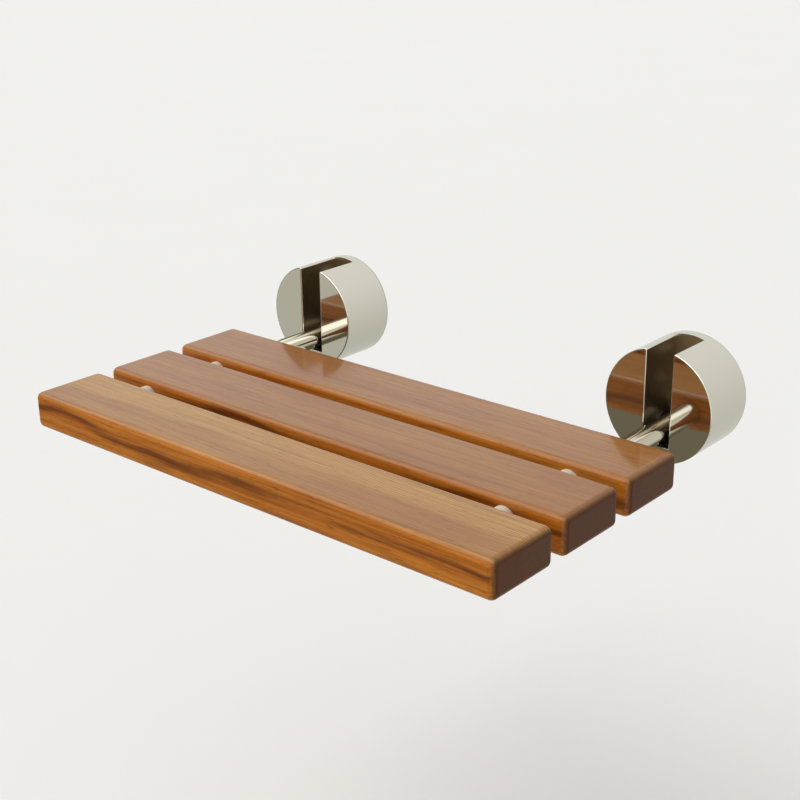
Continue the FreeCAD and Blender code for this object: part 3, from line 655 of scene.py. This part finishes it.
class WALLSEAT_OT_spacers(bpy.types.Operator):
    """Build the four rings that keep the slats apart"""
    bl_idname = "wall_seat.spacers"
    bl_label = "Spacers"

    def execute(self, context):
        rim = context.scene.wall_seat_fittings.rim
        for side in SIDES:
            arm_low, arm_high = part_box(f"arm_{side}")
            bore = (arm_high.z - arm_low.z) / 2 + ARM_FIT
            for gap in ("rear", "front"):
                node = f"spacer_{gap}_{side}"
                low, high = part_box(node)
                middle = (low + high) / 2
                outside = (high.z - low.z) / 2
                half = (high.y - low.y) / 2
                points = [(-half, bore), (half, bore)]
                rim_steps = 6
                for end, start in ((half - rim, 0), (rim - half, rim_steps)):
                    for step in range(start, start + rim_steps + 1):
                        angle = math.pi / 2 * step / rim_steps
                        height = outside - rim + rim * math.sin(angle)
                        points.append((end + rim * math.cos(angle), height))
                ring = turned(points, middle, (0, 1, 0), 72)
                finish_piece(f"nylon_spacer_{gap}_{side}", ring, fitting("moulded_nylon"),
                             "seat", [node])
        return {"FINISHED"}


def socket(centre, axis, flats, depth):
    """A hexagonal prism for a screw's socket, sunk from the head's face at the centre."""
    shape = bmesh.new()
    turn = Vector((0, 0, 1)).rotation_difference(Vector(axis)).to_matrix().to_4x4()
    radius = flats / math.sqrt(3)
    bmesh.ops.create_cone(
        shape, cap_ends=True, segments=6, radius1=radius, radius2=radius, depth=depth * 2,
        matrix=Matrix.Translation(centre) @ turn)
    return shape


class WALLSEAT_OT_slat_screws(bpy.types.Operator):
    """Build the screws that hold the slats on the arms from below"""
    bl_idname = "wall_seat.slat_screws"
    bl_label = "Slat screws"

    def execute(self, context):
        bevelled = context.scene.wall_seat_fittings.head_bevel
        for side in SIDES:
            low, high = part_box(f"slat_screws_{side}")
            head, deep = (high.x - low.x) / 2, high.z - low.z
            points = [(0, 0), (0, head - bevelled), (bevelled, head), (SLAT_SCREW_HEAD, head),
                      (SLAT_SCREW_HEAD, SLAT_SCREW_SHANK), (deep, SLAT_SCREW_SHANK), (deep, 0)]
            up = (0, 0, 1)
            screws = []
            for place in screw_places(side):
                foot = Vector((place.x, place.y, low.z))
                shape = turned(points, foot, up, 40, closed=False)
                screws.append(carve(shape, socket(foot, up, SLAT_SCREW_HEXAGON, SLAT_SCREW_SOCKET)))
            finish_piece(f"slat_screws_{side}_steel", join(screws), fitting("turned_stainless"),
                         "seat", [f"slat_screws_{side}"], sharp=SCREW_SHARP)
        return {"FINISHED"}


# ------------------------------------------------------------------------------------------
# Brackets

def drum_shape(low, high, metal):
    """A drum: a round cup open to the wall, with a slot down its front for the arm."""
    radius = (high.x - low.x) / 2
    across, up = (low.x + high.x) / 2, (low.z + high.z) / 2
    rear, front = high.y, low.y
    shape = bmesh.new()
    place = Matrix.Translation((across, rear, up)) @ Matrix.Rotation(math.pi / 2, 4, "X")
    bmesh.ops.create_circle(shape, cap_ends=True, segments=metal.steps, radius=radius, matrix=place)
    half = metal.slot_half
    mouth_height = math.sqrt(radius ** 2 - half ** 2)
    # The rim has no points close to the slot's corners, which leaves room to round them.
    crowded = [v for v in shape.verts if v.co.z > up
               and abs(abs(v.co.x - across) - half) < metal.slot_mouth + metal.drum_edge]
    bmesh.ops.dissolve_verts(shape, verts=crowded)
    disc = next(iter(shape.faces))

    def extrude(faces, to_y):
        """Extrudes a region of faces to a depth and returns its new faces."""
        # Its edges go in too, so that no face is left inside the solid where the region was.
        edges = list(dict.fromkeys(edge for face in faces for edge in face.edges))
        made = bmesh.ops.extrude_face_region(shape, geom=faces + edges)["geom"]
        moved = [part for part in made if isinstance(part, bmesh.types.BMVert)]
        bmesh.ops.translate(shape, verts=moved, vec=(0, to_y - moved[0].co.y, 0))
        return [part for part in made if isinstance(part, bmesh.types.BMFace)]

    def split(faces, point, normal):
        """Cuts a region of faces along a plane and returns what the region is then."""
        depth = faces[0].verts[0].co.y
        geom = list(dict.fromkeys([*faces, *(e for f in faces for e in f.edges),
                                   *(v for f in faces for v in f.verts)]))
        made = bmesh.ops.bisect_plane(shape, geom=geom, plane_co=point, plane_no=normal)["geom"]
        return [part for part in made if isinstance(part, bmesh.types.BMFace)
                and all(abs(v.co.y - depth) < TINY for v in part.verts)]

    cap = extrude([disc], -metal.slot_back)
    back = [face for face in shape.faces if all(abs(v.co.y - rear) < TINY for v in face.verts)]

    # The slot: everything but the slot's own floor plan grows forward to the front face.
    regions = split(cap, (across - half, 0, 0), (1, 0, 0))
    regions = split(regions, (across + half, 0, 0), (1, 0, 0))
    for vert in {v for face in regions for v in face.verts}:
        if abs(abs(vert.co.x - across) - half) < TINY and vert.co.z > up:
            vert.co.z = up + mouth_height
    strip = [face for face in regions if abs(face.calc_center_median().x - across) < half]
    others = [face for face in regions if face not in strip]
    strip = split(strip, (0, 0, up - metal.slot_floor), (0, 0, 1))
    sill = [face for face in strip if face.calc_center_median().z < up - metal.slot_floor]
    grown = extrude(others + sill, front)
    seams = dict.fromkeys(edge for face in grown for edge in face.edges
                          if all(other in grown for other in edge.link_faces))
    bmesh.ops.dissolve_edges(shape, edges=list(seams), use_verts=False)

    # The back: a rim, the recess for the wall plate, and a hollow each side of the slot's walls.
    bmesh.ops.inset_region(shape, faces=back, thickness=metal.shell, use_even_offset=True)
    floor = extrude(back, -metal.plate_room)
    floor = split(floor, (across - half - metal.cheek, 0, 0), (1, 0, 0))
    floor = split(floor, (across + half + metal.cheek, 0, 0), (1, 0, 0))
    hollows = [face for face in floor if abs(face.calc_center_median().x - across) > half]
    for hollow in hollows:
        extrude([hollow], front + metal.face)
    bmesh.ops.remove_doubles(shape, verts=shape.verts, dist=SAME)
    bmesh.ops.recalc_face_normals(shape, faces=shape.faces)

    # Rounded corners along the slot's floor and at its mouth, then every edge of the front face.
    corners = [e for e in shape.edges
               if all(abs(abs(v.co.x - across) - half) < TINY
                      and abs(v.co.z - up + metal.slot_floor) < TINY for v in e.verts)]
    bevel(shape, corners, metal.slot_corner, 6)
    mouths = [e for e in shape.edges
              if all(abs(abs(v.co.x - across) - half) < TINY
                     and abs(v.co.z - up - mouth_height) < 10 * TINY for v in e.verts)]
    bevel(shape, mouths, metal.slot_mouth, 6)
    rim = [e for e in shape.edges if all(abs(v.co.y - front) < TINY for v in e.verts)]
    bevel(shape, rim, metal.drum_edge, 5, clamp=False)
    # The faces inside the slot take the second material, the satin nickel darkened as painted
    # shade.
    for face in shape.faces:
        at = face.calc_center_median()
        within = (at.xz - Vector((across, up))).length < radius - metal.drum_edge
        deep = front + metal.drum_edge < at.y < -metal.slot_back + TINY
        if within and deep and abs(at.x - across) < half + TINY:
            face.material_index = 1
    return shape


class WALLSEAT_OT_drums(bpy.types.Operator):
    """Build the two polished drums with their slots"""
    bl_idname = "wall_seat.drums"
    bl_label = "Drums"

    def execute(self, context):
        metal = context.scene.wall_seat_metal
        for side in SIDES:
            low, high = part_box(f"drum_{side}")
            shape = drum_shape(low, high, metal)
            finish_piece(f"nickel_drum_{side}", shape, fitting("polished_nickel"),
                         "brackets", [f"drum_{side}"], second=fitting("satin_nickel_painted_shade"))
        return {"FINISHED"}


class WALLSEAT_OT_hinges(bpy.types.Operator):
    """Build the bushes, disc springs and shoulder screws of both hinges"""
    bl_idname = "wall_seat.hinges"
    bl_label = "Hinges"

    def execute(self, context):
        fittings = context.scene.wall_seat_fittings
        for side in SIDES:
            low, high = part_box(f"arm_{side}")
            radius = (high.z - low.z) / 2
            hinge = Vector(((low.x + high.x) / 2, high.y - radius, (low.z + high.z) / 2))
            cut = fittings.head_bevel
            bush = [(FLANGE_FACE, BORE), (BOSS_END, BORE), (BOSS_END, SLEEVE), (SLOT_FACE, SLEEVE),
                    (SLOT_FACE, FLANGE), (FLANGE_FACE, FLANGE)]
            disc = [(BOSS_END, BORE + SPRING_FIT), (SPRING_END, BORE + SPRING_FIT),
                    (SPRING_END, SPRING), (BOSS_END, SPRING)]
            screw = [(SCREW_TIP, 0), (SCREW_TIP, THREAD), (SCREW_FLAT, THREAD),
                     (SCREW_FLAT, SHOULDER), (SPRING_END, SHOULDER), (SPRING_END, HINGE_HEAD),
                     (HEAD_END - cut, HINGE_HEAD), (HEAD_END, HINGE_HEAD - cut), (HEAD_END, 0)]
            axes = ((1, 0, 0), (-1, 0, 0))
            bushes = join([turned(bush, hinge, axis, 64) for axis in axes])
            discs = join([turned(disc, hinge, axis, 64) for axis in axes])
            screws = []
            for axis in axes:
                face = hinge + Vector(axis) * HEAD_END
                shape = turned(screw, hinge, axis, 64, closed=False)
                screws.append(carve(
                    shape, socket(face, axis, fittings.hexagon, fittings.socket_depth)))
            screws = join(screws)
            finish_piece(f"hinge_bushes_{side}_acetal", bushes, fitting("moulded_acetal"),
                         "brackets", [f"hinge_bushes_{side}"], sharp=SCREW_SHARP)
            finish_piece(f"disc_springs_{side}_steel", discs, fitting("turned_stainless"),
                         "brackets", [f"disc_springs_{side}"], sharp=SCREW_SHARP)
            finish_piece(f"hinge_screws_{side}_steel", screws, fitting("turned_stainless"),
                         "seat", [f"hinge_screws_{side}"], sharp=SCREW_SHARP)
        return {"FINISHED"}


class WALLSEAT_OT_stop_pads(bpy.types.Operator):
    """Build the pads in the slots' floors, under the arms"""
    bl_idname = "wall_seat.stop_pads"
    bl_label = "Stop pads"

    def execute(self, context):
        for side in SIDES:
            low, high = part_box(f"stop_pad_{side}")
            pad = block(low, high)
            bevel(pad, pad.edges[:], PAD_EDGE, 3)
            finish_piece(f"stop_pad_{side}_acetal", pad, fitting("moulded_acetal"),
                         "brackets", [f"stop_pad_{side}"])
        return {"FINISHED"}


class WALLSEAT_OT_drum_screws(bpy.types.Operator):
    """Build the socket screws at the backs of the slots"""
    bl_idname = "wall_seat.drum_screws"
    bl_label = "Drum screws"

    def execute(self, context):
        fittings = context.scene.wall_seat_fittings
        for side in SIDES:
            low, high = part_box(f"drum_screws_{side}")
            head, cut = (high.x - low.x) / 2, fittings.head_bevel
            deep = high.y - low.y
            screws = []
            for height in (high.z - head, low.z + head):
                face = Vector(((low.x + high.x) / 2, low.y, height))
                points = [(0, 0), (0, head - cut), (cut, head), (DRUM_SCREW_HEAD, head),
                          (DRUM_SCREW_HEAD, DRUM_SCREW_SHANK), (deep, DRUM_SCREW_SHANK), (deep, 0)]
                shape = turned(points, face, (0, 1, 0), 56, closed=False)
                screws.append(carve(
                    shape, socket(face, (0, 1, 0), fittings.hexagon, fittings.socket_depth)))
            finish_piece(f"drum_screws_{side}_steel", join(screws), fitting("turned_stainless"),
                         "brackets", [f"drum_screws_{side}"], sharp=SCREW_SHARP)
        return {"FINISHED"}


class WALLSEAT_OT_wall_side(bpy.types.Operator):
    """Finish the wall plates and seals, whose shapes are used as they are"""
    bl_idname = "wall_seat.wall_side"
    bl_label = "Wall side"

    def execute(self, context):
        for side in SIDES:
            for node, material in ((f"wall_plate_{side}", "turned_stainless"),
                                   (f"gasket_{side}", "silicone_rubber")):
                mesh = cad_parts[node].data
                if not mesh.materials:
                    mesh.materials.append(None)
                for index in range(len(mesh.materials)):
                    mesh.materials[index] = fitting(material)
        return {"FINISHED"}


# ------------------------------------------------------------------------------------------
# Stage

def light_room(context, stage):
    """Light from all round, as in a white room: what lights surfaces, and what gloss reflects."""
    world = bpy.data.worlds.new("white_room")
    world.use_nodes = True
    context.scene.world = world
    tree = world.node_tree
    air = tree.nodes["Background"]
    direction = add(tree, "TexCoord")
    parts = add(tree, "SeparateXYZ", (direction.outputs["Generated"],))
    # Light on the surfaces comes more from the left and the front than from the right and the wall.
    right = add(tree, "MapRange", (parts.outputs["X"], -0.3, 0.9, 1.0, 0.3))
    behind = add(tree, "MapRange", (parts.outputs["Y"], -0.1, 0.9, 1.0, 0.35))
    lit = add(tree, "Math", (right, behind), operation="MULTIPLY")
    lit = add(tree, "Mix", {0: lit, MIX_A: rgba((0, 0, 0)), MIX_B: rgba(linear(LIT_AIR))},
              data_type="RGBA")
    # Reflections show a white wall behind, and in front a dim olive room under a bright ceiling.
    wall = add(tree, "MapRange", (parts.outputs["Z"], -0.8, 0.7, 0.0, 1.0))
    wall = add(tree, "Mix", {
        0: wall, MIX_A: rgba(linear(WALL_FOOT)), MIX_B: rgba(linear(WALL_TOP))}, data_type="RGBA")
    room = add(tree, "MapRange", (parts.outputs["Z"], 0.42, 0.62), interpolation_type="SMOOTHSTEP")
    aside = add(tree, "MapRange", (parts.outputs["X"], 0.1, 0.5), interpolation_type="SMOOTHSTEP")
    level = add(tree, "MapRange", (parts.outputs["Z"], -0.6, -0.25, 0.0, 0.45),
                interpolation_type="SMOOTHSTEP")
    aside = add(tree, "Math", (aside, level), operation="MULTIPLY")
    room = add(tree, "Math", (room, aside), operation="MAXIMUM")
    room = add(tree, "Mix", {0: room, MIX_A: rgba(linear(DIM_ROOM)), MIX_B: CEILING},
               data_type="RGBA")
    turn = add(tree, "MapRange", (parts.outputs["Y"], -0.12, 0.2), interpolation_type="SMOOTHSTEP")
    seen = add(tree, "Mix", {0: turn, MIX_A: room.outputs[MIX_OUT], MIX_B: wall.outputs[MIX_OUT]},
               data_type="RGBA")
    ray = add(tree, "LightPath")
    shade = add(tree, "Mix", {0: ray.outputs["Is Glossy Ray"], MIX_A: lit.outputs[MIX_OUT],
                              MIX_B: seen.outputs[MIX_OUT]}, data_type="RGBA")
    shade = add(tree, "Mix", {0: ray.outputs["Is Camera Ray"], MIX_A: shade.outputs[MIX_OUT],
                              MIX_B: rgba(linear(BACKDROP))}, data_type="RGBA")
    tree.links.new(shade.outputs[MIX_OUT], air.inputs["Color"])
    air.inputs["Strength"].default_value = stage.air

    window = bpy.data.lights.new("window_light", "SUN")
    window.angle = math.radians(WINDOW_WIDTH)
    window.energy = stage.key
    window.color = linear(WINDOW_TINT)
    holder = bpy.data.objects.new("window_light", window)
    holder.visible_glossy = False
    holder.rotation_euler = Vector(WINDOW_RAYS).to_track_quat("-Z", "Y").to_euler()
    context.scene.collection.objects.link(holder)


def reflection_card(context, low, high, glow):
    """A white card that only reflections see, to brighten one side of polished metal."""
    shape = block(low, high)
    mesh = bpy.data.meshes.new("reflection_card")
    shape.to_mesh(mesh)
    shape.free()
    material, tree, shader = blank("reflection_card")
    shader.inputs["Base Color"].default_value = rgba(linear("#000000"))
    shader.inputs["Emission Color"].default_value = rgba(linear(CARD_TINT))
    shader.inputs["Emission Strength"].default_value = glow
    mesh.materials.append(material)
    card = bpy.data.objects.new("reflection_card", mesh)
    context.scene.collection.objects.link(card)
    card.visible_camera = False
    card.visible_diffuse = False
    card.visible_shadow = False
    card.visible_transmission = False


class WALLSEAT_OT_stage(bpy.types.Operator):
    """Build the pale floor, the soft light and the camera"""
    bl_idname = "wall_seat.stage"
    bl_label = "Stage"

    def execute(self, context):
        stage = context.scene.wall_seat_stage
        floor = bmesh.new()
        bmesh.ops.create_grid(floor, x_segments=8, y_segments=8, size=FLOOR_HALF,
                              matrix=Matrix.Translation((0, 0, -stage.drop)))
        mesh = bpy.data.meshes.new("floor")
        floor.to_mesh(mesh)
        floor.free()
        mesh.materials.append(pale_floor())
        ground = bpy.data.objects.new("floor", mesh)
        context.scene.collection.objects.link(ground)
        ground.visible_glossy = False
        reflection_card(context, *CARD, CARD_GLOW)

        light_room(context, stage)
        camera = bpy.data.cameras.new("camera")
        camera.lens = stage.lens
        camera.sensor_width = SENSOR_WIDTH
        camera.clip_start = 0.05
        holder = bpy.data.objects.new("camera", camera)
        azimuth, elevation, roll = map(
            math.radians, (CAMERA_AZIMUTH, CAMERA_ELEVATION, CAMERA_ROLL))
        holder.matrix_world = (
            Matrix.Translation(CAMERA_PLACE) @ Matrix.Rotation(azimuth, 4, "Z")
            @ Matrix.Rotation(math.pi / 2 - elevation, 4, "X") @ Matrix.Rotation(roll, 4, "Z"))
        context.scene.collection.objects.link(holder)
        context.scene.camera = holder
        context.scene.view_settings.view_transform = "Standard"
        return {"FINISHED"}


OPERATORS = (
    WALLSEAT_OT_slats,
    WALLSEAT_OT_arms,
    WALLSEAT_OT_spacers,
    WALLSEAT_OT_slat_screws,
    WALLSEAT_OT_drums,
    WALLSEAT_OT_hinges,
    WALLSEAT_OT_stop_pads,
    WALLSEAT_OT_drum_screws,
    WALLSEAT_OT_wall_side,
    WALLSEAT_OT_stage,
)


class WALLSEAT_PT_panel(bpy.types.Panel):
    """Every piece of the wall seat, in building order."""
    bl_idname = "WALLSEAT_PT_panel"
    bl_label = "Wall seat"
    bl_space_type = "VIEW_3D"
    bl_region_type = "UI"
    bl_category = "Wall seat"

    def draw(self, context):
        for operator in OPERATORS:
            self.layout.operator(operator.bl_idname)
        for name in SETTINGS:
            box = self.layout.box()
            group = getattr(context.scene, name)
            for setting in group.bl_rna.properties:
                if not setting.is_readonly and setting.identifier != "name":
                    box.prop(group, setting.identifier)


SETTINGS = {
    "wall_seat_wood": WallSeatWood,
    "wall_seat_metal": WallSeatMetal,
    "wall_seat_fittings": WallSeatFittings,
    "wall_seat_stage": WallSeatStage,
}


def register():
    """Registers the settings, operators and panel."""
    for group in SETTINGS.values():
        bpy.utils.register_class(group)
    for name, group in SETTINGS.items():
        setattr(bpy.types.Scene, name, PointerProperty(type=group))
    for operator in OPERATORS:
        bpy.utils.register_class(operator)
    bpy.utils.register_class(WALLSEAT_PT_panel)


def unregister():
    """Takes them away again."""
    bpy.utils.unregister_class(WALLSEAT_PT_panel)
    for operator in reversed(OPERATORS):
        bpy.utils.unregister_class(operator)
    for name in SETTINGS:
        delattr(bpy.types.Scene, name)
    for group in reversed(SETTINGS.values()):
        bpy.utils.unregister_class(group)


def main():
    """Registers the add-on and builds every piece."""
    register()
    for operator in OPERATORS:
        group, name = operator.bl_idname.split(".")
        getattr(getattr(bpy.ops, group), name)()


if __name__ == "__main__":
    main()
